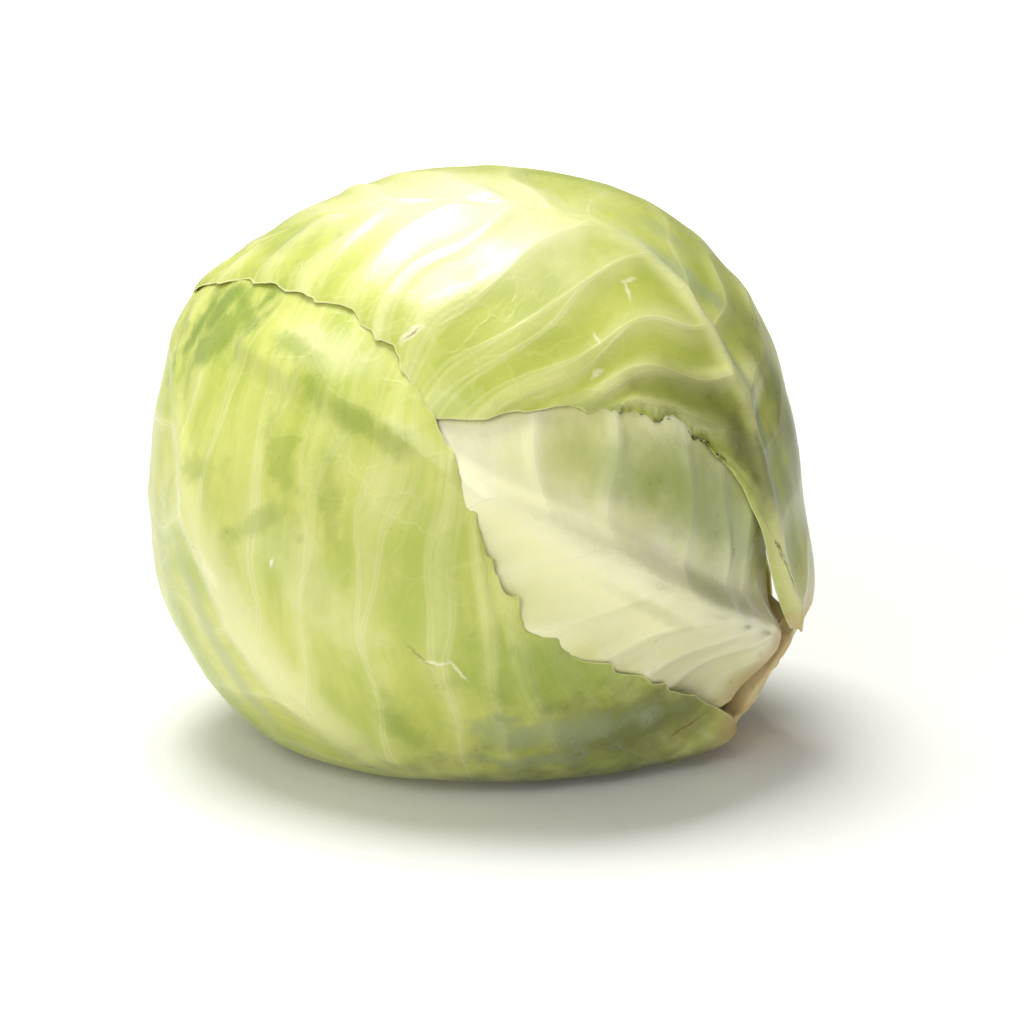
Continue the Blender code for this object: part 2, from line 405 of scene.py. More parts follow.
    def _net(self, tree: bpy.types.NodeTree, flat: Socket, wander: Socket, reach: Socket) -> Socket:
        """Draw the net of small veins, stronger towards the margin.

        Args:
            tree: the node tree.
            flat: the flat place of each point, in mm.
            wander: the noise that bends the net.
            reach: how far out each point is, from the midrib to the margin.

        Returns:
            How strongly the net shows, from 0 to 1.
        """
        colour = wander.node.outputs["Color"]
        push = add_node(tree, "VectorMath", {"operation": "SCALE"}, {0: colour, "Scale": self.net_bend})
        warped = add_node(tree, "VectorMath", {"operation": "ADD"}, {0: flat, 1: push})
        cells = add_node(tree, "TexVoronoi", {"feature": "DISTANCE_TO_EDGE"},
                         {"Vector": warped, "Scale": 1 / self.net_size}, "Distance")
        line = add_node(tree, "MapRange", SOFT, {
            "Value": cells, "From Min": 0.01, "From Max": 0.085, "To Min": self.net, "To Max": 0.0})
        fade = add_node(tree, "MapRange", SOFT, {
            "Value": reach, "From Min": 0.15, "From Max": 0.8, "To Min": 0.3, "To Max": 1.0})
        return add_node(tree, "Math", TIMES, {0: line, 1: fade})

    def _patch(
        self, tree: bpy.types.NodeTree, flat: Socket, wander: Socket, under: Socket, patch: Patch
    ) -> Socket:
        """Lay one patch over a colour: an ellipse whose edge the noise makes ragged.

        Args:
            tree: the node tree.
            flat: the flat place of each point, in mm.
            wander: the noise that tears the edge.
            under: the colour beneath.
            patch: the patch.

        Returns:
            The colour with the patch on it.
        """
        place = add_node(tree, "Mapping", {"vector_type": "TEXTURE"}, {
            "Vector": flat,
            "Location": (patch.x, patch.y, 0.0),
            "Rotation": (0.0, 0.0, math.radians(patch.turn)),
            "Scale": (patch.half_length, patch.half_width, 1.0)})
        away = add_node(tree, "VectorMath", {"operation": "LENGTH"}, {0: place}, "Value")
        torn = add_node(tree, "Math", TIMES_PLUS, {0: wander, 1: 3.0 * patch.ragged, 2: away})
        middle = 1.0 + 1.5 * patch.ragged
        share = add_node(tree, "MapRange", SOFT, {
            "Value": torn, "From Min": middle - 0.8, "From Max": middle + 0.2,
            "To Min": patch.strength, "To Max": 0.0})
        tint = srgb(self.tints[patch.tint])
        return add_node(tree, "Mix", BLEND, {0: share, UNDER: under, OVER: tint}, BLENDED)

    def _ends(
        self, tree: bpy.types.NodeTree, flat: Socket, wander: Socket, edge: Socket, under: Socket
    ) -> Socket:
        """Dry the leaf's cut base to tan and pale its thin margin.

        Args:
            tree: the node tree.
            flat: the flat place of each point, in mm.
            wander: the noise that makes the dry edge uneven.
            edge: each point's distance from the margin, in mm.
            under: the colour beneath.

        Returns:
            The colour with both ends dressed.
        """
        height = add_node(tree, "SeparateXYZ", None, {0: flat}, "Y")
        height = add_node(tree, "Math", TIMES_PLUS, {0: wander, 1: 7.0, 2: height})
        dried = add_node(tree, "MapRange", SOFT, {
            "Value": height, "From Min": DRIED[0], "From Max": DRIED[1], "To Min": 0.9, "To Max": 0.0})
        burnt = add_node(tree, "MapRange", SOFT, {
            "Value": height, "From Min": BURNT[0], "From Max": BURNT[1],
            "To Min": self.burnt, "To Max": 0.0})
        rim = add_node(tree, "MapRange", SOFT, {
            "Value": edge, "From Min": 0.2, "From Max": 0.9, "To Min": 0.85, "To Max": 0.0})
        for share, code in ((rim, self.rim), (dried, self.base), (burnt, self.tints[Tint.BROWN])):
            under = add_node(tree, "Mix", BLEND, {0: share, UNDER: under, OVER: srgb(code)}, BLENDED)
        return under


# Where a side vein forks, as shares of its reach, and how far the branches part, in vein gaps.
FORKS = ((0.22, 0.85, 0.22), (0.55, 1.05, 0.11))


@dataclass(frozen=True)
class HeadForm:
    """The head's plain outer form, in metres, as the CAD model has it."""

    radius: float = 0.0896
    centre: tuple[float, float, float] = (-0.0007, 0.0, 0.0675)
    crown_axis: tuple[float, float, float] = (-0.8405, 0.1312, 0.5257)
    front_side: tuple[float, float, float] = (0.0, -0.9703, 0.2421)
    stem_rise: float = 0.0085
    stem_rise_from: float = 146.0
    stem_rise_over: float = 24.0
    neck_angle: float = 156.0
    neck_width: float = 15.0
    flat_softness: float = 0.0045
    flat_skim: float = 0.0004
    flat_gap: float = 0.0005
    cut: float = 0.0938  # how far down the stem the knife's plane lies
    leaf_pitch: float = 0.00125  # leaves lie closer here than their plain solids do
    cover_keep: float = 0.008
    cover_fade: float = 0.032
    settle_fade: float = 0.060
    press_keep: float = -0.009  # a leaf goes flat this far inside the margin of the one over it
    press_fade: float = 0.008
    tent_widen: float = 3.0  # mm, a leaf over a midrib stands off it by this much more on each side
    tent_share: float = 0.55  # how much of that ridge each leaf hands on to the next
    # (degrees from the crown, azimuth in degrees, width in radians, height)
    lumps: tuple[tuple[float, float, float, float], ...] = (
        (0, 0, 0.24, 0.0060),
        (32, 80, 0.22, 0.0015),
        (96, 90, 0.46, 0.0028),
        (98, 0, 0.60, 0.0025),
        (98, 180, 0.60, 0.0025),
        (48, -85, 0.30, 0.0010),
        (136, 90, 0.22, -0.0022),
        (150, -75, 0.30, 0.0045),
        (56, 92, 0.50, -0.0013),
    )
    # The leaves under the outermost one stand away from it beside the stem.
    hollows: tuple[tuple[float, float, float, float], ...] = ((157, 94, 0.31, -0.0105),)

    @property
    def crown(self) -> Array:
        """Return the direction from the head's centre to its crown."""
        return unit(np.array(self.crown_axis))

    @property
    def front(self) -> Array:
        """Return azimuth 0, square to the axis and towards the viewer."""
        side = np.array(self.front_side)
        return unit(side - side @ self.crown * self.crown)

    @property
    def up(self) -> Array:
        """Return azimuth 90, square to the axis and upwards."""
        return np.cross(self.crown, self.front)

    def direction(self, from_crown: float, azimuth: float) -> Array:
        """Return a direction from the head's centre.

        Args:
            from_crown: its angle from the crown, in degrees.
            azimuth: its angle round the axis, in degrees, from the viewer's side upwards.

        Returns:
            A unit vector.
        """
        polar, turn = math.radians(from_crown), math.radians(azimuth)
        side = math.cos(turn) * self.front + math.sin(turn) * self.up
        return math.cos(polar) * self.crown + math.sin(polar) * side

    def bare_radius(self, directions: Array, level: int) -> Array:
        """Return the head's radius before its leaves are counted.

        Args:
            directions: unit vectors from the centre.
            level: the leaf's number from outside, because only level 0 spans the hollows.

        Returns:
            The radius along each direction, in metres.
        """
        polar = np.degrees(np.arccos(np.clip(directions @ self.crown, -1, 1)))
        radius = self.radius + self.stem_rise * smoothstep(
            (polar - self.stem_rise_from) / self.stem_rise_over
        )
        for from_crown, azimuth, width, height in self.lumps + (self.hollows if level else ()):
            away = np.arccos(np.clip(directions @ self.direction(from_crown, azimuth), -1, 1))
            radius = radius + height * np.exp(-((away / width) ** 2))
        return radius

    def neck(self, directions: Array) -> Array:
        """Return 1 where the leaves draw in around the stem and 0 elsewhere, smoothly."""
        polar = np.degrees(np.arccos(np.clip(directions @ self.crown, -1, 1)))
        return np.exp(-(((polar - self.neck_angle) / self.neck_width) ** 2))

    def settle(self, points: Array, floor: Array) -> Array:
        """Press points flat where they would pass under a floor height, gently at its edge.

        Args:
            points: the points, in metres, which are changed in place.
            floor: the lowest height of each.

        Returns:
            The same points.
        """
        rise = (points[..., 2] - floor) / self.flat_softness
        soft = self.flat_softness * np.logaddexp(0.0, rise) - self.flat_skim
        points[..., 2] = floor + np.maximum(soft, 0.0)
        return points


@dataclass(frozen=True)
class Fold:
    """A soft ridge along a leaf, where it bends over what lies beneath, in mm."""

    course: Course
    start: float  # the fold's two ends along y
    stop: float
    height: float
    left: float  # half-widths, left and right of the crest
    right: float
    fade: float = 14.0

    def ridge(self, x: Array, y: Array) -> Array:
        """Work out the fold at flat points.

        Args:
            x, y: the points, in mm.

        Returns:
            The fold's height there, in mm.
        """
        away = x - self.course.at(y)
        width = np.where(away < 0.0, self.left, self.right)
        ends = smoothstep((y - self.start) / self.fade) * smoothstep((self.stop - y) / self.fade)
        return self.height * ends * np.exp(-((away / width) ** 2))


@dataclass(frozen=True)
class Midrib:
    """A leaf's midrib. Its course, half-width and height all follow y, in mm."""

    course: Course
    half_width: Course
    height: Course
    steep_side: float = 1.0  # the half-width on the right, as a share of the left

    def ridge(self, x: Array, y: Array, widen: float = 0.0) -> Array:
        """Work out the midrib at flat points.

        Args:
            x, y: the points, in mm.
            widen: how much wider each half is made, in mm.

        Returns:
            The midrib's height there, in mm.
        """
        away = x - self.course.at(y)
        half_width = self.half_width.at(y) * np.where(away > 0.0, self.steep_side, 1.0) + widen
        return self.height.at(y) * np.exp(-(np.abs(away / half_width) ** 2.4))


@dataclass(frozen=True)
class SideVeins:
    """A leaf's side veins: how many on each side, and their relief in mm."""

    count: int = 12
    bunching: float = 1.25  # over 1, they stand closer towards the base
    half_width: tuple[float, float] = (2.4, 1.0)
    height: tuple[float, float] = (0.9, 0.2)
    swelling: float = 0.7
    jitter: float = 0.20
    jitter_length: float = 40.0


@dataclass
class Leaf:
    """One leaf of the head, worked out flat in mm and wrapped on at its level."""

    node: str
    slot: str
    azimuth: float
    margin: Course
    finish: LeafFinish
    neck_drop: float
    rib: Midrib
    veins: SideVeins = field(default_factory=SideVeins)
    seed: int = 1
    scale: float = 1.0
    scallop: Course = Course(((-180, 0), (-165, 1.5), (165, 1.5), (180, 0)))
    scallop_fade: float = 9.0  # mm
    lift: float = 0.8
    lift_width: float = 4.0
    waviness: float = 0.6
    thickness: float = 0.8
    margin_share: float = 0.45  # how thick the margin is, as a share of the blade
    margin_width: float = 6.0
    folds: tuple[Fold, ...] = ()
    calm: tuple[tuple[float, float, float, float], ...] = ()  # where few veins show: x, y and half-sizes
    patches: tuple[Patch, ...] = ()
    rows: int = 200
    half_columns: int = 116
    middle: float = 88.0
    base_corners: tuple[float, float] = (-172.0, 172.0)
    rib_end: float = 0.90
    foot_power: float = 1.8
    sag: float = 0.05
    rib_depth: float = 0.6  # how much of the midrib's height thickens the wall
    foot_depth: float = 0.7  # mm, how much thicker the wall grows towards the cut base

    def reach(self, angle: Array) -> Array:
        """Return the plain margin's distance in mm from the leaf's middle, for angles in degrees."""
        return self.margin.at(angle) * self.scale

    def scallops(self, angle: Array) -> Array:
        """Work out the margin's small teeth, with finer nicks in them.

        Args:
            angle: angles round the leaf's middle, in degrees.

        Returns:
            How far the margin draws in at each, in mm.
        """
        rng = np.random.default_rng(100 + self.seed)
        teeth = np.cumsum(rng.uniform(6.0, 13.0, 90)) - 190.0
        skew = rng.uniform(0.75, 1.5, 90)
        depth = rng.uniform(0.6, 1.0, 90)
        k = np.clip(np.searchsorted(teeth, angle) - 1, 0, 88)
        t = np.clip((angle - teeth[k]) / (teeth[k + 1] - teeth[k]), 0.0, 1.0) ** skew[k]
        room = (teeth[k + 1] - teeth[k]) / 10.0
        nicks = np.cumsum(rng.uniform(1.6, 5.0, 180)) - 190.0
        j = np.clip(np.searchsorted(nicks, angle) - 1, 0, 178)
        u = np.clip((angle - nicks[j]) / (nicks[j + 1] - nicks[j]), 0.0, 1.0)
        nick = rng.uniform(0.0, 0.30, 180)[j] * 4.0 * u * (1.0 - u)
        return self.scallop.at(angle) * (0.4 - depth[k] * room * 4.0 * t * (1.0 - t) - nick)

    def draw_in(self, x: Array, y: Array) -> tuple[Array, Array]:
        """Draw flat points in between the margin's teeth, less and less over a few mm inside it.

        Args:
            x, y: the points, in mm.

        Returns:
            The moved points.
        """
        angle, distance = np.degrees(np.arctan2(x, y)), np.hypot(x, y)
        inside = np.clip((self.reach(angle) - distance) / self.scallop_fade, 0.0, 1.0)
        pull = 1.0 + self.scallops(angle) * (1.0 - inside) ** 2 / np.maximum(distance, 1.0)
        return x * pull, y * pull

    def axes(self, form: HeadForm) -> tuple[Array, Array, Array]:
        """Find how the leaf's middle lies on the head.

        Args:
            form: the head's form.

        Returns:
            The directions outwards, towards the crown and sideways, as unit vectors.
        """
        outward = form.direction(self.middle, self.azimuth)
        crownward = unit(form.crown - form.crown @ outward * outward)
        return outward, crownward, np.cross(crownward, outward)

    def wrap(self, form: HeadForm, x: Array, y: Array) -> Array:
        """Wrap flat points on the head.

        Args:
            form: the head's form.
            x, y: the points, in mm.

        Returns:
            Their directions from the head's centre.
        """
        outward, crownward, sideways = self.axes(form)
        distance = np.maximum(np.hypot(x, y), 1e-6)[..., None]
        turn = distance * MM / form.radius
        heading = (x[..., None] * sideways + y[..., None] * crownward) / distance
        return np.cos(turn) * outward + np.sin(turn) * heading

    def unwrap(self, form: HeadForm, directions: Array) -> tuple[Array, Array]:
        """Find where on the flat leaf some directions pass.

        Args:
            form: the head's form.
            directions: unit vectors from the head's centre.

        Returns:
            The flat points, in mm.
        """
        outward, crownward, sideways = self.axes(form)
        turn = np.arccos(np.clip(directions @ outward, -1, 1))
        angle = np.arctan2(directions @ sideways, directions @ crownward)
        distance = turn * form.radius / MM
        return distance * np.sin(angle), distance * np.cos(angle)

    def cover(self, form: HeadForm, directions: Array, keep: float, fade: float) -> Array:
        """Find where the leaf lies.

        Args:
            form: the head's form.
            directions: unit vectors from the head's centre.
            keep: how far past the margin the leaf still counts as full, in metres.
            fade: the length over which it then falls away, in metres.

        Returns:
            From 0 to 1, how much of the leaf counts along each direction.
        """
        x, y = self.unwrap(form, directions)
        outside = (np.hypot(x, y) - self.reach(np.degrees(np.arctan2(x, y)))) * MM
        return smoothstep(1.0 - (outside - keep) / fade)

    def ends(self) -> tuple[float, float]:
        """Return the midrib's two ends along y, in mm."""
        return -float(self.reach(np.array(180.0))), float(self.reach(np.array(0.0))) * self.rib_end

    def half(self, side: int) -> dict[str, Array]:
        """Lay out one half of the leaf, from the midrib out to the margin.

        Args:
            side: 1 for the side of growing azimuth, -1 for the other.

        Returns:
            By name, arrays of rows + 1 by half_columns + 1: the flat x and y, how far out each point
            is (reach), its distance from the margin (edge), its place between the side veins (phase
            and gap), and how plainly they show there (show).
        """
        along = np.linspace(0.0, 1.0, self.rows + 1)[:, None]
        out = np.linspace(0.0, 1.0, self.half_columns + 1)[None, :]
        low, high = self.ends()
        foot_y = low + (high - low) * along**self.foot_power
        foot_x = self.rib.course.at(foot_y)
        angle = self.base_corners[side > 0] * (1.0 - along)
        reach = self.reach(angle)
        edge_x, edge_y = np.sin(np.radians(angle)) * reach, np.cos(np.radians(angle)) * reach
        x = foot_x + (edge_x - foot_x) * out
        y = foot_y + (edge_y - foot_y) * out - self.sag * np.abs(edge_x - foot_x) * out * (1.0 - out)
        span = np.hypot(edge_x - foot_x, edge_y - foot_y)
        x, y = self.draw_in(x, y)
        phase = self.veins.count * along**self.veins.bunching + 0.25 * side * (1.0 - along**3) + 0.0 * out
        step_x, step_y = np.gradient(x, axis=1), np.gradient(y, axis=1)
        climb_x, climb_y = np.gradient(x, axis=0), np.gradient(y, axis=0)
        area = np.abs(step_x * climb_y - step_y * climb_x)
        pace = np.maximum(np.abs(np.gradient(phase, axis=0)), 1e-5)
        gap = np.clip(area / (pace * np.maximum(np.hypot(step_x, step_y), 1e-6)), 1.0, 32.0)
        jitter = Ripple(200 + self.seed * 7 + side, self.veins.jitter_length)
        phase = phase + self.veins.jitter * jitter.at(x, y)
        show = smoothstep((gap - 2.5) / 5.0) * smoothstep(out * span / 3.0)
        for calm_x, calm_y, half_x, half_y in self.calm:
            away = ((x - calm_x) / half_x) ** 2 + ((y - calm_y) / half_y) ** 2
            show = show * (1.0 - 0.85 * np.exp(-away))
        return {
            "x": x, "y": y, "reach": out + 0.0 * along, "edge": (1.0 - out) * span,
            "phase": phase, "gap": gap, "show": show, "side": side + 0.0 * x,
        }

    def layout(self) -> dict[str, Array]:
        """Lay out the whole flat leaf, its left half before its right."""
        left, right = self.half(-1), self.half(1)
        return {k: np.concatenate([left[k][:, :0:-1], right[k]], axis=1) for k in right}

    def relief(self, flat: dict[str, Array]) -> dict[str, Array]:
        """Work out the leaf's own relief.

        Args:
            flat: the layout of the flat leaf.

        Returns:
            In mm, the midrib's and veins' ridges (ridge), the blade's slower swells (swell), the
            lift of the margin (lift), and, from 0 to 1, the broad pale streaks (streak).
        """
        x, y, out = flat["x"], flat["y"], flat["reach"]
        rib = self.rib.ridge(x, y)
        folds = sum((fold.ridge(x, y) for fold in self.folds), np.zeros_like(x))
        away = np.abs(flat["phase"] - np.round(flat["phase"]))
        main = away * flat["gap"]
        for start, stop, spread in FORKS:
            away = np.abs(away - spread * smoothstep((out - start) / (stop - start)))
        fine = away * flat["gap"]
        width = self.veins.half_width[0] + (self.veins.half_width[1] - self.veins.half_width[0]) * out
        height = self.veins.height[0] + (self.veins.height[1] - self.veins.height[0]) * out
        strengths = np.random.default_rng(700 + self.seed).uniform(0.35, 1.1, 90)
        vein = np.round(flat["phase"]).astype(int) + 30 * (flat["side"] > 0)
        strong = strengths[np.clip(vein, 0, len(strengths) - 1)]
        uneven = strong * (0.85 + 0.30 * Ripple(300 + self.seed, 26.0).at(x, y)) * flat["show"]
        line = uneven * height * (
            0.85 * np.exp(-((main / width) ** 2)) + 0.2 * np.exp(-((fine / (0.8 * width)) ** 2))
        )
        broad = np.exp(-((main / (0.30 * flat["gap"])) ** 2)) * (1.0 - 0.6 * out)
        wave = Ripple(400 + self.seed, 46.0).at(x, y) + 0.35 * Ripple(500 + self.seed, 19.0).at(x, y)
        streak = (0.9 - 0.3 * out) * np.exp(-((main / (1.4 * width)) ** 2)) * uneven + 0.15 * broad
        from_rib = (x - self.rib.course.at(y)) / (1.3 * self.rib.half_width.at(y))
        beside_rib = np.clip(self.rib.height.at(y), 0.0, 1.0) * np.exp(-(from_rib**2))
        flutter = 0.7 + 0.6 * Ripple(600 + self.seed, 22.0).at(x, y)
        return {
            "ridge": rib + line,
            "swell": self.veins.swelling * broad * uneven + self.waviness * wave + folds,
            "lift": self.lift * np.exp(-flat["edge"] / self.lift_width) * flutter,
            "streak": np.clip(np.maximum(streak, beside_rib), 0.0, 1.0),
        }


@dataclass
class Head:
    """All the leaves on their form, and how they lie on each other."""

    form: HeadForm
    leaves: list[Leaf]

    def place(self, directions: Array, level: int, own: Array | float = 0.0) -> Array:
        """Return points on the outer face of a leaf, or of the heart at the last level.

        Args:
            directions: unit vectors from the head's centre.
            level: the leaf's number from outside, or the number of leaves for the heart.
            own: the leaf's own relief, in metres.

        Returns:
            The points, in metres.
        """
        form = self.form
        radius = form.bare_radius(directions, level) + own
        for number, leaf in enumerate(self.leaves):
            radius = radius - form.leaf_pitch * leaf.cover(form, directions, 0.0, form.settle_fade)
            if number >= level:
                lies = leaf.cover(form, directions, form.cover_keep, form.cover_fade)
                radius = radius + form.leaf_pitch * lies
            if number > level:
                x, y = leaf.unwrap(form, directions)
                tent = leaf.rib.ridge(x, y, form.tent_widen) * form.tent_share ** (number - level)
                radius = radius + tent * MM * leaf.cover(form, directions, -0.002, 0.004)
        drop = self.leaves[-1].neck_drop + MM
        if level < len(self.leaves):
            drop = self.leaves[level].neck_drop
        radius = radius - drop * form.neck(directions)
        past_cut = np.maximum(-radius * (directions @ form.crown) - form.cut, 0.0)
        points = np.array(form.centre) + radius[..., None] * directions + past_cut[..., None] * form.crown
        above = np.zeros(directions.shape[:-1])
        for leaf in self.leaves[:level]:
            above += leaf.cover(form, directions, form.cover_keep, form.cover_fade)
        return form.settle(points, above * form.leaf_pitch + form.flat_gap)

    def covered(self, directions: Array, level: int) -> Array:
        """Find how fully the leaves outside one hide it.

        Args:
            directions: unit vectors from the head's centre.
            level: the leaf's number from outside.

        Returns:
            From 0 in the open to 1 where the leaf is hidden.
        """
        open_share = np.ones(directions.shape[:-1])
        for leaf in self.leaves[:level]:
            open_share *= 1.0 - leaf.cover(self.form, directions, self.form.press_keep, self.form.press_fade)
        return 1.0 - open_share

    def build_leaf(self, level: int) -> bpy.types.Object:
        """Model one leaf as a thin wall on the head, and dress it.

        Args:
            level: the leaf's number from outside.

        Returns:
            The finished leaf.
        """
        leaf = self.leaves[level]
        flat = leaf.layout()
        relief = leaf.relief(flat)
        directions = leaf.wrap(self.form, flat["x"], flat["y"])
        pressed = 1.0 - 0.85 * self.covered(directions, level)
        own = (relief["ridge"] + relief["swell"] + relief["lift"]) * pressed
        points = self.place(directions, level, own * MM)

        work = bmesh.new()
        bmesh.ops.create_grid(work, x_segments=2 * leaf.half_columns, y_segments=leaf.rows, size=1.0)
        mesh = bpy.data.meshes.new(leaf.node + "_leaf")
        work.to_mesh(mesh)
        work.free()
        spot = np.empty(len(mesh.vertices) * 3, np.float32)
        mesh.vertices.foreach_get("co", spot)
        spot = spot.reshape(-1, 3)
        column = np.rint((spot[:, 0] + 1.0) * leaf.half_columns).astype(int)
        row = np.rint((spot[:, 1] + 1.0) / 2.0 * leaf.rows).astype(int)
        mesh.vertices.foreach_set("co", points[row, column].astype(np.float32).ravel())
        seen = {name: flat[name] for name in ("phase", "gap", "reach", "edge", "show")}
        for name, values in (seen | {"streak": relief["streak"]}).items():
            layer = mesh.attributes.new(name, "FLOAT", "POINT")
            layer.data.foreach_set("value", values[row, column].astype(np.float32))
        corner = np.empty(len(mesh.loops), np.int32)
        mesh.loops.foreach_get("vertex_index", corner)
        places = np.stack([flat["x"][row, column], flat["y"][row, column]], axis=1)
        chart = mesh.uv_layers.new(name=FLAT_MAP)
        chart.uv.foreach_set("vector", places[corner].astype(np.float32).ravel())

        blade = leaf.margin_share + (1.0 - leaf.margin_share) * smoothstep(flat["edge"] / leaf.margin_width)
        wall = leaf.thickness * blade + leaf.rib_depth * relief["ridge"] * pressed
        wall = wall + leaf.foot_depth * smoothstep((FOOT_TOP - flat["y"]) / FOOT_LENGTH)
        most = float(wall.max())
        obj = bpy.data.objects.new(leaf.node + "_leaf", mesh)
        bpy.context.scene.collection.objects.link(obj)
        group = obj.vertex_groups.new(name="wall")
        self._weigh(mesh, group, (wall / most)[row, column])
        self._close_tip(mesh)
        mesh.shade_smooth()
        solid = obj.modifiers.new("wall", "SOLIDIFY")
        solid.thickness = most * MM
        solid.offset = -1.0
        solid.use_even_offset = False
        solid.vertex_group = group.name
        mesh.materials.append(leaf.finish.material(leaf.patches))
        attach(obj, BODY)
        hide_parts(leaf.node)
        return obj

    @staticmethod
    def _weigh(mesh: bpy.types.Mesh, group: bpy.types.VertexGroup, shares: Array) -> None:
        """Write a share for each vertex into the mesh's only vertex group.

        Args:
            mesh: the leaf's mesh.
            group: the vertex group.
            shares: one number from 0 to 1 for each vertex.
        """
        work = bmesh.new()
        work.from_mesh(mesh)
        layer = work.verts.layers.deform.verify()
        for vert, share in zip(work.verts, shares):
            vert[layer][group.index] = float(share)
        work.to_mesh(mesh)
        work.free()

    def _close_tip(self, mesh: bpy.types.Mesh) -> None:
        """Merge the line past the midrib's end, where the two halves meet, and face the leaf outwards.

        Args:
            mesh: the leaf's mesh.
        """
        work = bmesh.new()
        work.from_mesh(mesh)
        bmesh.ops.remove_doubles(work, verts=work.verts, dist=0.00001)
        bmesh.ops.recalc_face_normals(work, faces=work.faces)
        centre = Vector(self.form.centre)
        outward = sum(f.normal.dot(f.calc_center_median() - centre) for f in work.faces)
        if outward < 0:
            bmesh.ops.reverse_faces(work, faces=work.faces)
        work.to_mesh(mesh)
        work.free()


@dataclass
class Heart:
    """The tight middle of the head, one solid of small pale leaves."""

    segments: int = 128
    rings: int = 96
    gap: float = 0.0010
    dimple: float = 0.0140
    dimple_from: float = 154.0
    dimple_over: float = 14.0

    def build(self, head: Head) -> bpy.types.Object:
        """Model the heart under the last separate leaf.

        Args:
            head: the leaves on their form.

        Returns:
            The finished heart.
        """
        form = head.form
        work = bmesh.new()
        bmesh.ops.create_uvsphere(work, u_segments=self.segments, v_segments=self.rings, radius=1.0)
        local = np.array([v.co for v in work.verts])
        outward = unit(local @ np.array([form.front, form.up, form.crown]))
        points = head.place(outward, len(head.leaves))
        polar = np.degrees(np.arccos(np.clip(local[:, 2], -1, 1)))
        turn = np.degrees(np.arctan2(local[:, 1], local[:, 0]))
        inset = self.gap + self.dimple * smoothstep((polar - self.dimple_from) / self.dimple_over)
        wrinkle = 0.0012 * np.sin(np.radians(3.0 * turn + 2.2 * polar)) ** 2
        centre = np.array(form.centre)
        points += (centre - points) * ((inset + wrinkle) / form.radius)[:, None]
        for vert, point in zip(work.verts, points):
            vert.co = point
        bmesh.ops.recalc_face_normals(work, faces=work.faces)
        mesh = bpy.data.meshes.new("heart_core")
        work.to_mesh(mesh)
        work.free()
        mesh.shade_smooth()
        obj = bpy.data.objects.new("heart_core", mesh)
        bpy.context.scene.collection.objects.link(obj)
        mesh.materials.append(HeartFinish().material())
        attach(obj, BODY)
        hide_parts("heart")
        return obj


@dataclass(frozen=True)
class HeartFinish:
    """Blanched inner cabbage: crisp, pale, wet-looking leaf that has had no light."""

    name: str = "blanched_heart_leaf"
    pale: str = "E9E6BC"
    green: str = "D5D88F"
    cloud_size: float = 0.02

    def material(self) -> bpy.types.Material:
        """Make the heart's material.

        Returns:
            The new material.
        """
        made = bpy.data.materials.new(self.name)
        made.use_nodes = True
        tree = made.node_tree
        shader = tree.nodes["Principled BSDF"]
        place = add_node(tree, "TexCoord", out="Object")
        cloud = add_node(tree, "TexNoise", None,
                         {"Vector": place, "Scale": 1 / self.cloud_size, "Detail": 4.0})
        colour = add_node(tree, "Mix", BLEND,
                          {0: cloud, UNDER: srgb(self.pale), OVER: srgb(self.green)}, BLENDED)
        tree.links.new(colour, shader.inputs["Base Color"])
        bump = add_node(tree, "Bump", None, {"Height": cloud, "Distance": 0.8 * MM, "Strength": 0.5})
        tree.links.new(bump, shader.inputs["Normal"])
        shader.inputs["Roughness"].default_value = 0.35
        shader.inputs["IOR"].default_value = 1.40
        shader.inputs["Subsurface Weight"].default_value = 0.3
        shader.inputs["Subsurface Scale"].default_value = 3.0 * MM
        return made


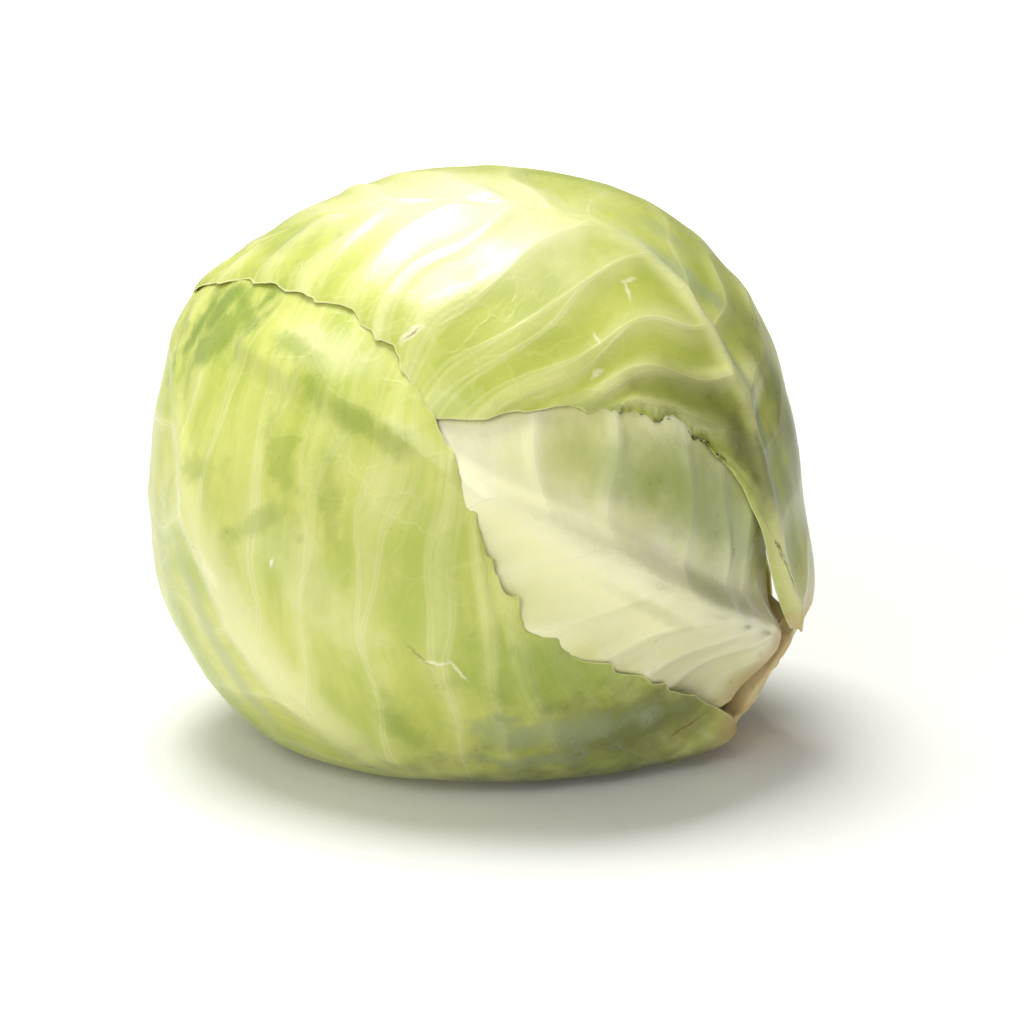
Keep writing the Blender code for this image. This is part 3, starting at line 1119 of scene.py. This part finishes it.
@dataclass(frozen=True)
class StumpFinish:
    """Cut cabbage stem: a tan, dried woody ring round a paler pith, rough with cut fibres. The ring's colour
    is lightened nearly to the pith's, as painted light on the stem's shaded side.
    """

    name: str = "cut_stem_wood"
    flesh: str = "F2DFAE"
    # Painted light: the side's tan is lightened nearly to the pith's colour, to lift that shaded side.
    ring: str = "F0DAA2"
    dried: str = "D0AA6C"
    fibre_size: float = 0.0022
    blot_size: float = 0.009

    def material(self) -> bpy.types.Material:
        """Make the stump's material. Its rings run about the stem's own axis.

        Returns:
            The new material.
        """
        made = bpy.data.materials.new(self.name)
        made.use_nodes = True
        tree = made.node_tree
        shader = tree.nodes["Principled BSDF"]
        away = add_node(tree, "Attribute", {"attribute_name": "ring"}, out="Fac")
        place = add_node(tree, "TexCoord", out="Object")
        fibre = add_node(tree, "TexNoise", None,
                         {"Vector": place, "Scale": 1 / self.fibre_size, "Detail": 5.0, "Roughness": 0.65})
        blot = add_node(tree, "TexNoise", None, {"Vector": place, "Scale": 1 / self.blot_size, "Detail": 3.0})
        rings = add_node(tree, "ValToRGB", None, {0: away})
        stops = (
            (0.0, self.flesh), (0.42, self.flesh), (0.62, self.ring), (0.72, self.flesh), (0.92, self.ring),
        )
        ramp = rings.node.color_ramp
        ramp.elements[0].position, ramp.elements[0].color = stops[0][0], srgb(stops[0][1])
        ramp.elements[1].position, ramp.elements[1].color = stops[-1][0], srgb(stops[-1][1])
        for position, code in stops[1:-1]:
            ramp.elements.new(position).color = srgb(code)
        spots = add_node(tree, "MapRange", None,
                         {"Value": blot, "From Min": 0.5, "From Max": 0.75, "To Max": 0.45})
        colour = add_node(tree, "Mix", BLEND, {0: spots, UNDER: rings, OVER: srgb(self.dried)}, BLENDED)
        tree.links.new(colour, shader.inputs["Base Color"])
        bump = add_node(tree, "Bump", None, {"Height": fibre, "Distance": 0.9 * MM, "Strength": 0.7})
        tree.links.new(bump, shader.inputs["Normal"])
        shader.inputs["Roughness"].default_value = 0.7
        shader.inputs["IOR"].default_value = 1.45
        shader.inputs["Subsurface Weight"].default_value = 0.35
        shader.inputs["Subsurface Radius"].default_value = (1.0, 0.6, 0.25)
        shader.inputs["Subsurface Scale"].default_value = 3.0 * MM
        return made


@dataclass
class Stump:
    """The cut stem, turned about the head's axis and roughened by the knife."""

    radius: float = 0.0192
    rim: float = 0.0060
    round_off: float = 0.0012
    dish: float = 0.0008  # how far the cut face falls away towards its rim
    pith: float = 0.0012  # how far the soft pith has shrunk into the face
    step: float = 0.0006
    root_radius: float = 0.0215
    cut: float = 0.0935
    depth: float = 0.0225
    face_rings: int = 14
    steps: int = 128

    def profile(self) -> list[tuple[float, float]]:
        """Draw the outline that is turned about the stem's axis.

        Returns:
            Its corners: radius, and distance from the head's centre along the stem, in metres.
        """
        flat = 0.95 * self.radius
        face = [
            (flat * (i / self.face_rings), self.cut - self.dish * (i / self.face_rings) ** 3)
            for i in range(self.face_rings + 1)
        ]
        edge = [
            (flat + self.round_off * math.sin(t), self.cut - self.dish - self.round_off * (1 - math.cos(t)))
            for t in (0.5, 1.0, math.pi / 2)
        ]
        side = [(self.radius, self.cut - self.rim * t) for t in (0.45, 0.6, 0.8, 1.0)]
        inner = self.cut - self.depth
        shoulder = (self.radius - self.step, self.cut - self.rim - self.step)
        root = [shoulder, (self.root_radius, inner), (0.0, inner)]
        return face + edge + side + root

    def build(self, form: HeadForm) -> bpy.types.Object:
        """Model the stump: spin its outline, then roughen the cut face and the rim.

        Args:
            form: the head's form.

        Returns:
            The finished stump.
        """
        work = bmesh.new()
        corners = [work.verts.new((r, 0.0, z)) for r, z in self.profile()]
        lines = [work.edges.new(pair) for pair in zip(corners, corners[1:])]
        bmesh.ops.spin(
            work, geom=corners + lines, cent=(0, 0, 0), axis=(0, 0, 1), angle=math.tau,
            steps=self.steps, use_merge=True,
        )
        bmesh.ops.remove_doubles(work, verts=work.verts, dist=0.000005)
        bmesh.ops.recalc_face_normals(work, faces=work.faces)
        local = np.array([v.co for v in work.verts])
        away = np.hypot(local[:, 0], local[:, 1])
        turn = np.arctan2(local[:, 1], local[:, 0])
        rough = Ripple(31, 5.0).at(local[:, 0] / MM, local[:, 1] / MM)
        waves = Ripple(32, 11.0).at(local[:, 0] / MM, local[:, 1] / MM)
        at_face = smoothstep((local[:, 2] - (self.cut - self.rim)) / self.rim)
        local[:, 2] += at_face * MM * (0.35 * rough + 0.6 * waves)
        local[:, 2] -= at_face * self.pith * (away / self.radius < 0.35)
        swell = 1.0 + 0.03 * np.sin(3 * turn + 0.6) + 0.012 * np.sin(11 * turn)
        local[:, :2] *= swell[:, None]
        basis = Vector(tuple(-form.crown)).to_track_quat("Z", "X").to_matrix().to_4x4()
        stand = Matrix.Translation(form.centre) @ basis
        for vert, point in zip(work.verts, local):
            vert.co = stand @ Vector(point)
        mesh = bpy.data.meshes.new("cut_stump")
        work.to_mesh(mesh)
        work.free()
        ring = mesh.attributes.new("ring", "FLOAT", "POINT")
        ring.data.foreach_set("value", (away / self.radius).astype(np.float32))
        mesh.shade_smooth()
        obj = bpy.data.objects.new("cut_stump", mesh)
        bpy.context.scene.collection.objects.link(obj)
        mesh.materials.append(StumpFinish().material())
        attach(obj, BODY)
        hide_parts("stem")
        return obj


@dataclass
class Studio:
    """A white sweep, soft light from above and the left, and the camera."""

    floor_size: float = 6.0
    camera_place: tuple[float, float, float] = (0.00846, -1.26284, 0.37618)
    camera_aim: tuple[float, float, float] = (0.0, 0.9703, -0.2419)
    lens: float = 167.6

    def build(self) -> None:
        """Make the floor, the lights, the surroundings and the camera."""
        self._floor()
        # (name, place, size, power in watts)
        for name, place, size, power in (
            ("overhead_softbox", (-0.25, 0.30, 1.50), 0.80, 28.0),
            ("front_softbox", (-0.60, -1.45, 0.95), 1.10, 14.0),
        ):
            light = bpy.data.lights.new(name, "AREA")
            light.size = size
            light.energy = power
            lamp = bpy.data.objects.new(name, light)
            lamp.location = place
            towards = Vector(HEAD_MIDDLE) - Vector(place)
            lamp.rotation_euler = towards.to_track_quat("-Z", "Y").to_euler()
            bpy.context.scene.collection.objects.link(lamp)
        self._surroundings()
        camera = bpy.data.cameras.new("camera")
        camera.lens = self.lens
        camera.clip_start = 0.05
        eye = bpy.data.objects.new("camera", camera)
        eye.location = self.camera_place
        eye.rotation_euler = Vector(self.camera_aim).to_track_quat("-Z", "Y").to_euler()
        bpy.context.scene.collection.objects.link(eye)
        bpy.context.scene.camera = eye
        bpy.context.scene.view_settings.view_transform = "Standard"

    def _floor(self) -> None:
        """Lay the plain white surface that the head lies on."""
        work = bmesh.new()
        bmesh.ops.create_grid(work, x_segments=4, y_segments=4, size=self.floor_size / 2)
        mesh = bpy.data.meshes.new("studio_floor")
        work.to_mesh(mesh)
        work.free()
        floor = bpy.data.objects.new("studio_floor", mesh)
        bpy.context.scene.collection.objects.link(floor)
        # White acrylic sheet, lit a little from below, and more and more away from the head, so that the
        # ground runs into the white behind it.
        paper = bpy.data.materials.new("lit_white_acrylic")
        paper.use_nodes = True
        shader = paper.node_tree.nodes["Principled BSDF"]
        shader.inputs["Base Color"].default_value = srgb("DCDCD8")
        shader.inputs["Emission Color"].default_value = srgb("FFFAF2")
        tree = paper.node_tree
        place = add_node(tree, "TexCoord", out="Object")
        away = add_node(tree, "VectorMath", {"operation": "LENGTH"}, {0: place}, "Value")
        seen = add_node(tree, "LightPath", out="Is Camera Ray")
        far = add_node(tree, "MapRange", SOFT,
                       {"Value": away, "From Min": 0.35, "From Max": 0.75, "To Min": 0.0, "To Max": 0.8})
        lit = add_node(tree, "Math", TIMES_PLUS, {0: far, 1: seen, 2: 0.06})
        tree.links.new(lit, shader.inputs["Emission Strength"])
        shader.inputs["Roughness"].default_value = 0.9
        shader.inputs["Specular IOR Level"].default_value = 0.1
        mesh.materials.append(paper)

    def _surroundings(self) -> None:
        """Light the scene softly from all round, more from the left, before a white background."""
        world = bpy.data.worlds.new("white_studio")
        world.use_nodes = True
        tree = world.node_tree
        tree.nodes.clear()
        way = add_node(tree, "TexCoord", out="Generated")
        side = add_node(tree, "SeparateXYZ", None, {0: way}, "X")
        fill = add_node(tree, "MapRange", None,
                        {"Value": side, "From Min": -1.0, "From Max": 1.0, "To Min": 0.50, "To Max": 0.06})
        light = add_node(tree, "Background", None, {"Color": srgb("FFFFFF"), "Strength": fill})
        back = add_node(tree, "Background", None, {"Color": srgb("FFFFFF"), "Strength": 1.0})
        seen = add_node(tree, "LightPath", out="Is Camera Ray")
        both = add_node(tree, "MixShader", None, {0: seen, 1: light, 2: back})
        add_node(tree, "OutputWorld", None, {0: both})
        bpy.context.scene.world = world


# The margins: reach in mm from the leaf's middle, by angle from its tip.
TOP_MARGIN = Course(
    ((-171, 119), (-165, 99), (-155, 74), (-140, 60), (-115, 57), (-92, 67), (-76, 83), (-60, 77), (-40, 83),
     (-15, 107), (0, 134), (20, 152), (45, 146), (70, 122), (95, 102), (120, 90), (145, 90), (163, 104),
     (171, 119), (180, 122)), period=360.0)
FRONT_MARGIN = Course(
    ((-171, 119), (-163, 106), (-145, 89), (-120, 86), (-95, 96), (-70, 112), (-45, 132), (-15, 155),
     (0, 158), (20, 148), (45, 130), (65, 113), (78, 99), (92, 87), (106, 76), (126, 77), (142, 88),
     (157, 103), (171, 119), (180, 122)), period=360.0)
PLAIN_MARGIN = Course(
    ((-171, 119), (-163, 112), (-145, 92), (-120, 88), (-95, 97), (-70, 112), (-45, 130), (-15, 148),
     (0, 150), (15, 148), (45, 130), (70, 112), (95, 97), (120, 88), (145, 92), (163, 112), (171, 119),
     (180, 122)), period=360.0)

OUTER = LeafFinish("waxy_outer_leaf", blade="C6CD5E", deep="A6B242", vein="EAEBAA", streaks=0.8, net=0.10)
OUTER_FRONT = LeafFinish("waxy_front_leaf", blade="D0D46E", deep="AEBC48", vein="E6E8A4", streaks=0.45,
                         lines=0.45, net=0.10, fibre=0.7, burnt=0.6)
INNER = LeafFinish("pale_inner_leaf", blade="F8F5C0", deep="D8DA80", vein="FDFADC", streaks=0.55, lines=0.2,
                   net=0.05, rim="F6F3D2")
CORE = LeafFinish("blanched_core_leaf", blade="E2E0A6", deep="CFCF86", vein="F0EECB", net=0.1)

# The midribs: sideways course, half-width and height in mm, all by the distance towards the crown.
TOP_RIB = Midrib(
    Course(((-121, -10), (-105, -17), (-77, -20), (-62, -18), (-50, -14), (-30, -8), (-16, -2), (-4, 1),
            (10, 0), (30, -4), (60, -7), (120, -3))),
    half_width=Course(((-122, 3.5), (-60, 3.0), (-10, 3.5), (30, 6))),
    height=Course(((-122, 1.2), (-60, 1.6), (-15, 1.2), (5, 0.6), (26, 0.1), (40, 0.0))), steep_side=0.7)
FRONT_RIB = Midrib(
    Course(((-122, 4), (-60, 4), (-34, 3), (-14, 1.4), (0, 4), (24, 10), (46, 15.8), (66, 19), (84, 20),
            (142, 5))),
    half_width=Course(((-122, 9), (-20, 7), (60, 5), (142, 3))),
    height=Course(((-122, 1.2), (-20, 1.3), (60, 1.4), (110, 0.4), (142, 0.1))))
INNER_RIB = Midrib(
    Course(((-122, 12), (-109, 10), (-89, 4.4), (-66, 0.5), (-38, -2.4), (-3, -5.5), (60, -3), (135, 0))),
    half_width=Course(((-122, 16), (-80, 14), (-30, 10), (10, 6), (60, 3))),
    height=Course(((-122, 3.6), (-105, 5.2), (-80, 6.0), (-30, 4.4), (10, 1.6), (60, 0.3))), steep_side=0.40)
PLAIN_RIB = Midrib(
    Course(((-122, 3), (-50, -3), (10, 3), (80, -2), (135, 0))),
    half_width=Course(((-122, 7), (0, 4), (135, 1.6))),
    height=Course(((-122, 2.4), (0, 1.2), (80, 0.4), (135, 0.0))))
FRONT_FOLD = Fold(Course(((0, 88), (8, 88.4), (19, 89), (35, 87), (47, 82), (57, 78), (69, 72), (100, 55))),
                  start=-4, stop=104, height=2.0, left=5.0, right=14.0)

# How deep the teeth of a margin are, in mm, by the angle round the leaf's middle.
TOP_SCALLOP = Course(
    ((-180, 0), (-165, 1.2), (-140, 2.0), (-75, 2.3), (-60, 2.4), (60, 2.2), (150, 1.5), (180, 0)))
FRONT_SCALLOP = Course(
    ((-180, 0), (-165, 1.0), (55, 1.2), (80, 2.2), (120, 3.4), (150, 3.4), (168, 1), (180, 0)))

# What each visible leaf carries: bloom, darker and paler ground, painted shade in dull olive and, on the top
# leaf, a painted highlight, then small marks.
TOP_PATCHES = (
    # Painted highlight over a paler blade on the crown side, where the overhead light falls.
    Patch(Tint.PALE, -8, 46, 50, 30, 70, 0.9, 0.2),
    # Painted shade: dull olive on the side that turns from the light, down towards the stem.
    Patch(Tint.OLIVE, -30, -42, 28, 12, 118, 0.55, 0.35),
    Patch(Tint.OLIVE, -22, -66, 26, 8, 100, 0.75, 0.3),
    Patch(Tint.OLIVE, 8, -76, 46, 18, 88, 0.58, 0.5),
    Patch(Tint.OLIVE, -9, -86, 30, 6, 92, 0.5, 0.3),
    Patch(Tint.SHADE, -58, -18, 34, 7, 125, 0.35, 0.3),
    Patch(Tint.SHADE, 33, 15, 20, 7, 100, 0.35, 0.6),
    Patch(Tint.SHADE, -13, 92, 18, 10, 60, 0.35, 0.8),
    Patch(Tint.BLOOM, 3, -18, 24, 5, 95, 0.6, 0.3),
    Patch(Tint.BLOOM, -12, -56, 30, 3.5, 78, 0.7, 0.15),
    Patch(Tint.BLOOM, -14, -92, 22, 3, 92, 0.6, 0.2),
    Patch(Tint.BLOOM, 15, -5, 18, 6, 110, 0.35, 0.8),
    Patch(Tint.SCAR, -18, -8, 4.0, 0.8, 40, 0.65, 0.2),
    Patch(Tint.SCAR, -14.5, -6.5, 3.2, 0.8, 150, 0.55, 0.2),
    Patch(Tint.SCAR, -38.5, -8, 2.6, 0.7, 60, 0.65, 0.2),
    Patch(Tint.SCAR, -47.5, -13, 3.0, 0.8, 160, 0.65, 0.2),
    Patch(Tint.SCAR, -59.5, 37, 4.8, 1.8, 150, 0.8, 0.15),
    Patch(Tint.BROWN, -59.5, 36.6, 3.4, 0.7, 150, 0.7, 0.12),
    Patch(Tint.SCAR, -24.4, 71, 5.5, 0.6, 120, 0.6, 0.1),
)
FRONT_PATCHES = (
    Patch(Tint.PALE, 12, 26, 56, 9, 76, 0.65, 0.15),
    Patch(Tint.PALE, 84, 66, 26, 8, 118, 0.5, 0.25),
    Patch(Tint.PALE, 40, 20, 30, 12, 80, 0.3, 0.6),
    Patch(Tint.SHADE, 42, 110, 34, 16, 165, 0.8, 0.9),
    Patch(Tint.SHADE, 34, 118, 14, 8, 10, 0.8, 0.7),
    Patch(Tint.SHADE, 76, 74, 18, 4, 120, 0.6, 0.5),
    Patch(Tint.SHADE, 82, 40, 28, 5, 104, 0.5, 0.7),
    Patch(Tint.SHADE, 28, 70, 12, 5, 150, 0.45, 0.9),
    Patch(Tint.SHADE, 57, 50, 17, 7, 60, 0.42, 0.95),
    Patch(Tint.SHADE, 60, 28, 16, 4, 50, 0.40, 0.9),
    Patch(Tint.SHADE, 40, 44, 16, 4, 160, 0.40, 0.9),
    Patch(Tint.SHADE, 19, -20, 14, 6, 60, 0.55, 0.6),
    # Painted shade at the bottom, over the blade's own deep green and bloom: darker green and dull olive.
    Patch(Tint.SHADE, 54, -54, 38, 18, 108, 0.6, 0.4),
    Patch(Tint.OLIVE, 30, -84, 44, 22, 95, 0.85, 0.3),
    Patch(Tint.BLOOM, 31, -64, 34, 7.5, 97, 0.75, 0.7),
    Patch(Tint.BLOOM, 18, -58, 22, 4, 100, 0.6, 0.9),
    Patch(Tint.OLIVE, 0, -78, 62, 18, 90, 0.9, 0.35),
    Patch(Tint.BLOOM, -6, 30, 40, 5, 72, 0.5, 0.3),
    Patch(Tint.SHADE, -22, 40, 50, 9, 76, 0.4, 0.5),
    Patch(Tint.SCAR, 15.8, 46.4, 7.0, 1.8, 80, 0.7, 0.4),
    Patch(Tint.SCAR, 36.6, 33, 1.8, 0.9, 20, 0.9, 0.1),
    Patch(Tint.BROWN, 44, -14, 5.0, 0.6, 75, 0.6, 0.1),
    Patch(Tint.SCAR, 44.6, -19, 4.5, 0.7, 110, 0.8, 0.1),
    Patch(Tint.SCAR, 44.5, -25, 5.0, 0.6, 60, 0.7, 0.1),
    Patch(Tint.BROWN, 22.5, -102, 7.5, 0.6, 125, 0.9, 0.08),
)
INNER_PATCHES = (
    Patch(Tint.PALE, -17, -40, 52, 13, 95, 0.6, 0.12),
    Patch(Tint.SHADE, 27, -62, 50, 18, 100, 0.66, 0.25),
    Patch(Tint.SHADE, 15, -26, 24, 9, 95, 0.30, 0.3),
    # Painted shadow along the steep upper flank of the midrib.
    Patch(Tint.OLIVE, 2.5, -58, 50, 3.4, 98, 0.24, 0.03),
    Patch(Tint.OLIVE, 7.2, -82, 26, 4.0, 100, 0.22, 0.03),
    Patch(Tint.BLOOM, 27, -84, 24, 7, 85, 0.2, 0.4),
    Patch(Tint.SHADE, -8, -60, 20, 2.5, 96, 0.22, 0.2),
    Patch(Tint.SCAR, -11, -82, 3.5, 0.8, 150, 0.8, 0.1),
)


def make_leaves() -> list[Leaf]:
    """Describe the leaves from the outermost inwards, each about a third of a turn on from the last.

    Returns:
        The leaves, in that order.
    """
    leaves = [
        Leaf(
            "wrapper_leaf_top", "wrapper_leaf", 58, TOP_MARGIN, OUTER, 0.0, TOP_RIB,
            SideVeins(count=13, height=(1.0, 0.3), half_width=(3.4, 2.0), swelling=0.6, jitter=0.34),
            seed=1, scallop=TOP_SCALLOP, lift=-0.6, thickness=0.6, waviness=0.3,
            calm=((16, -78, 26, 42), (30, 30, 30, 60), (-24, -78, 9, 30)), patches=TOP_PATCHES,
            base_corners=(-171.5, 174.0), foot_power=1.3, sag=-0.22, rib_depth=0.0, foot_depth=0.0,
        ),
        Leaf(
            "wrapper_leaf_front", "wrapper_leaf", -57, FRONT_MARGIN, OUTER_FRONT, 0.001, FRONT_RIB,
            SideVeins(count=13, height=(0.5, 0.15), half_width=(2.4, 1.2), swelling=0.4),
            seed=2, scallop=FRONT_SCALLOP, lift=-0.5, thickness=0.6, waviness=0.45,
            calm=((-30, -40, 30, 70),), folds=(FRONT_FOLD,), patches=FRONT_PATCHES, foot_power=1.9,
        ),
        Leaf("wrapper_leaf_back", "wrapper_leaf", 165, PLAIN_MARGIN, OUTER, 0.002, PLAIN_RIB, seed=3),
        Leaf(
            "inner_leaf_front", "inner_leaf", 5, PLAIN_MARGIN, INNER, 0.004, INNER_RIB,
            SideVeins(count=11, height=(0.8, 0.2), half_width=(2.6, 1.6), swelling=0.4),
            seed=4, patches=INNER_PATCHES, base_corners=(-172.0, 166.0), foot_power=1.8, sag=-0.08,
        ),
    ]
    # (name, azimuth, neck drop, scale)
    for seed, (name, azimuth, drop, scale) in enumerate((
        ("inner_leaf_under", -130, 0.005, 0.98), ("inner_leaf_top", 100, 0.006, 0.98)
    ), start=5):
        leaves.append(
            Leaf(name, "inner_leaf", azimuth, PLAIN_MARGIN, INNER, drop, PLAIN_RIB, seed=seed, scale=scale)
        )
    core = ((-45, 0.0070, 0.97), (178, 0.0075, 0.97), (40, 0.0080, 0.96), (-97, 0.0085, 0.96))
    for number, (azimuth, drop, scale) in enumerate(core, start=1):
        leaves.append(
            Leaf(
                f"core_leaf_{number}", "core_leaf", azimuth, PLAIN_MARGIN, CORE, drop, PLAIN_RIB,
                seed=6 + number, scale=scale, rows=90, half_columns=50,
            )
        )
    return leaves


def main() -> None:
    """Build the head from the outside in, then the studio, and report each piece."""
    head = Head(HeadForm(), make_leaves())
    for level, leaf in enumerate(head.leaves):
        obj = head.build_leaf(level)
        log.info("%s: %d faces", obj.name, len(obj.data.polygons))
    for obj in (Heart().build(head), Stump().build(head.form)):
        log.info("%s: %d faces", obj.name, len(obj.data.polygons))
    Studio().build()
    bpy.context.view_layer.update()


if __name__ == "__main__":
    logging.basicConfig(level=logging.INFO, format="%(message)s")
    main()
